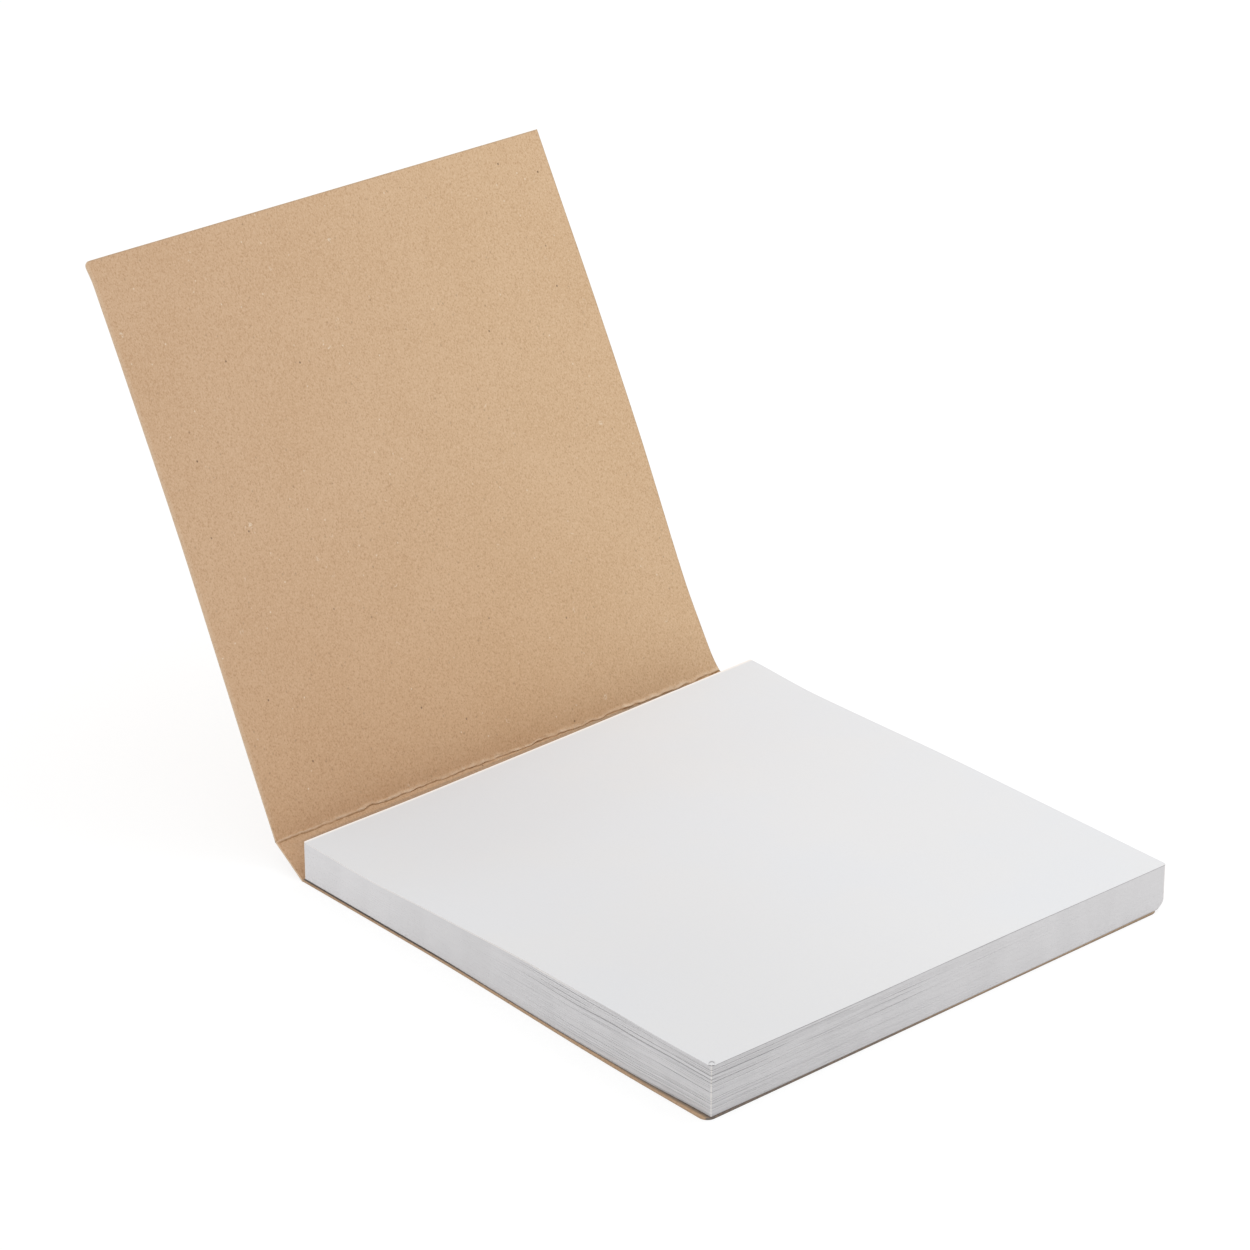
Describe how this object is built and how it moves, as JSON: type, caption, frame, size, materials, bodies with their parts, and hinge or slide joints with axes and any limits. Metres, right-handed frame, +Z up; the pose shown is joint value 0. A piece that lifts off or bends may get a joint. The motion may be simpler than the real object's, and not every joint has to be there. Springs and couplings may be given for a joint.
{
  "type": "sticky note pad",
  "caption": "Square block of white self-stick note sheets in a folded kraft card cover whose front panel stands open and can be shut over the block.",
  "frame": {"origin": "on the underside of the back panel, below the middle of the paper block", "axes": "+X from the creases to the free edge of the sheets, +Y along the creases, +Z up through the block"},
  "size_m": [0.1184, 0.0757, 0.0707],
  "materials": {
    "note_paper": "matt",
    "kraft_card": "matt, uncoated"
  },
  "bodies": {
    "pad": {"paper_block": "note_paper", "back_cover": "kraft_card"},
    "spine": {"spine_panel": "kraft_card"},
    "cover": {"front_cover": "kraft_card"}
  },
  "joints": [
    {"name": "spine_fold", "type": "hinge", "parent": "pad", "child": "spine", "pos_m": [-0.03773, 0, 0.00015], "axis": [0, -1, 0], "range_deg": [-64, 13]},
    {"name": "cover_fold", "type": "hinge", "parent": "spine", "child": "cover", "pos_m": [-0.04386, 0, 0.00232], "axis": [0.0066, -0.9998, 0.0186], "range_deg": [-52.5, 48]}
  ]
}
